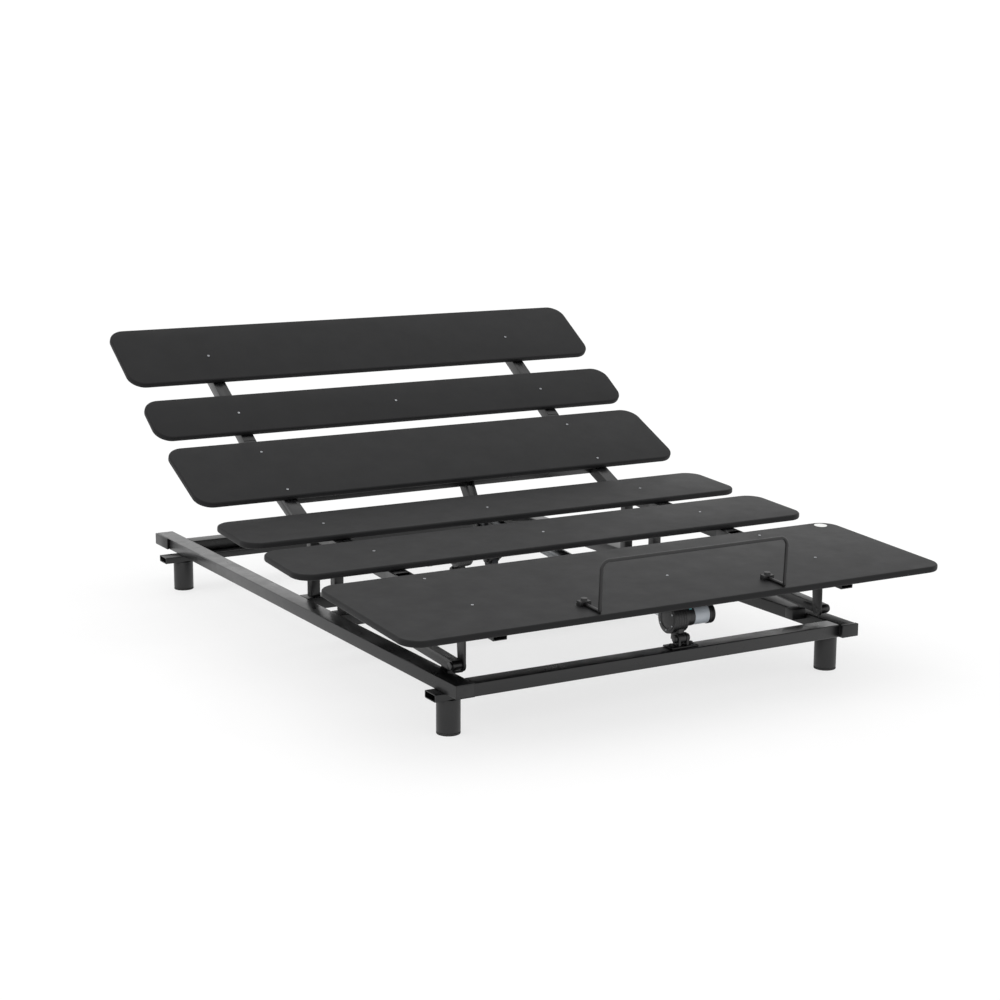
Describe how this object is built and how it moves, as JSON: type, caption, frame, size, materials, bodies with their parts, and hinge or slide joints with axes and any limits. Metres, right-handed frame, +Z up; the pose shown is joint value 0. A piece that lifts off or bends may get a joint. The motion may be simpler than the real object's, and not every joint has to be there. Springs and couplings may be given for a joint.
{
  "type": "adjustable bed base",
  "caption": "Low steel bed base whose slatted deck has a raised back and bending knee section, with spindle actuators, round legs and a foot-end mattress bar.",
  "frame": {"origin": "on the floor, under the middle of the object's own box", "axes": "+Z up, +Y towards the head end, +X to the right when looking from the foot to the head"},
  "size_m": [1.5, 1.9482, 0.7579],
  "materials": {
    "frame_black": "semi-gloss black powder coat",
    "leg_black": "satin black powder coat",
    "board_black": "matt black lacquered board",
    "screw_black": "black zinc",
    "zinc_steel": "black zinc",
    "glide_rubber": "matt",
    "plastic_black": "moulded black",
    "motor_grey": "grey sleeve",
    "actuator_aluminium": "extruded, satin",
    "spindle_steel": "ground",
    "label_white": "plain disc"
  },
  "bodies": {
    "base": {"side_rail_left": "frame_black", "side_rail_right": "frame_black", "foot_rail": "frame_black", "head_rail": "frame_black", "inner_rails": "frame_black", "cross_rails": "frame_black", "foot_brace": "frame_black", "head_brace": "frame_black", "legs": "leg_black", "leg_glides": "glide_rubber", "leg_studs": "zinc_steel", "end_blocks": "frame_black", "rail_end_plugs": "plastic_black", "rest_blocks": "frame_black", "seat_posts": "frame_black", "seat_tubes": "frame_black", "seat_board": "board_black", "seat_screws": "screw_black", "base_pins": "zinc_steel", "link_brackets": "frame_black", "head_actuator_bracket": "frame_black", "knee_actuator_bracket": "frame_black", "control_box": "plastic_black", "control_box_cover": "plastic_black", "power_inlet": "plastic_black"},
    "lumbar": {"lumbar_tubes": "frame_black", "lumbar_cross_tube": "frame_black", "lumbar_lever": "frame_black", "lumbar_pins": "zinc_steel", "lumbar_board": "board_black", "lumbar_screws": "screw_black"},
    "back": {"back_tubes": "frame_black", "back_cross_tube": "frame_black", "upper_back_board": "board_black", "head_board": "board_black", "back_screws": "screw_black"},
    "thigh": {"thigh_tubes": "frame_black", "thigh_cross_tube": "frame_black", "thigh_lever": "frame_black", "thigh_pins": "zinc_steel", "thigh_board": "board_black", "thigh_screws": "screw_black"},
    "calf": {"calf_tubes": "frame_black", "calf_cross_tube": "frame_black", "support_arms": "frame_black", "support_pins": "zinc_steel", "calf_board": "board_black", "calf_screws": "screw_black", "retainer_bar": "frame_black", "retainer_clamps": "plastic_black", "label_disc": "label_white"},
    "links": {"link_arms": "frame_black"},
    "head_actuator": {"head_gearbox": "plastic_black", "head_motor": "motor_grey", "head_actuator_tube": "actuator_aluminium"},
    "head_rod": {"head_rod": "spindle_steel"},
    "knee_actuator": {"knee_gearbox": "plastic_black", "knee_motor": "motor_grey", "knee_actuator_tube": "actuator_aluminium"},
    "knee_rod": {"knee_rod": "spindle_steel"}
  },
  "joints": [
    {"name": "lumbar_lift", "type": "hinge", "parent": "base", "child": "lumbar", "pos_m": [0, 0.11242, 0.31423], "axis": [1, 0, 0], "range_deg": [-20.8, 20]},
    {"name": "back_lift", "type": "hinge", "parent": "lumbar", "child": "back", "pos_m": [0, 0.43947, 0.45984], "axis": [1, 0, 0], "range_deg": [-8.6, 8.27]},
    {"name": "thigh_lift", "type": "hinge", "parent": "base", "child": "thigh", "pos_m": [0, -0.15618, 0.29922], "axis": [-1, 0, 0], "range_deg": [0, 35]},
    {"name": "calf_level", "type": "hinge", "parent": "thigh", "child": "calf", "pos_m": [0, -0.46818, 0.28177], "axis": [-1, 0, 0], "range_deg": [-35.1, 0.1]},
    {"name": "link_swing", "type": "hinge", "parent": "base", "child": "links", "pos_m": [0, -0.46588, 0.17444], "axis": [-1, 0, 0], "range_deg": [-0.1, 35.1]},
    {"name": "head_actuator_tilt", "type": "hinge", "parent": "base", "child": "head_actuator", "pos_m": [0.06, -0.82488, 0.154], "axis": [1, 0, 0], "range_deg": [-0.3262, 0.3156]},
    {"name": "head_rod_slide", "type": "slide", "parent": "head_actuator", "child": "head_rod", "axis": [0, 0.9963, 0.0863], "range_m": [-0.02855, 0.02747]},
    {"name": "knee_actuator_tilt", "type": "hinge", "parent": "base", "child": "knee_actuator", "pos_m": [-0.06, 0.05012, 0.154], "axis": [-1, 0, 0], "range_deg": [-4.9, 0.05]},
    {"name": "knee_rod_slide", "type": "slide", "parent": "knee_actuator", "child": "knee_rod", "axis": [0, -0.9354, 0.3537], "range_m": [-0.0005, 0.04514]}
  ],
  "couplings": [
    {"joint": "back_lift", "follows": "lumbar_lift", "ratio": 0.40865},
    {"joint": "head_actuator_tilt", "follows": "lumbar_lift", "ratio": 0.01328},
    {"joint": "head_rod_slide", "follows": "lumbar_lift", "m_per_rad": 0.07727},
    {"joint": "calf_level", "follows": "thigh_lift", "ratio": -1},
    {"joint": "link_swing", "follows": "thigh_lift", "ratio": 1},
    {"joint": "knee_actuator_tilt", "follows": "thigh_lift", "ratio": -0.13865},
    {"joint": "knee_rod_slide", "follows": "thigh_lift", "m_per_rad": 0.07308}
  ]
}
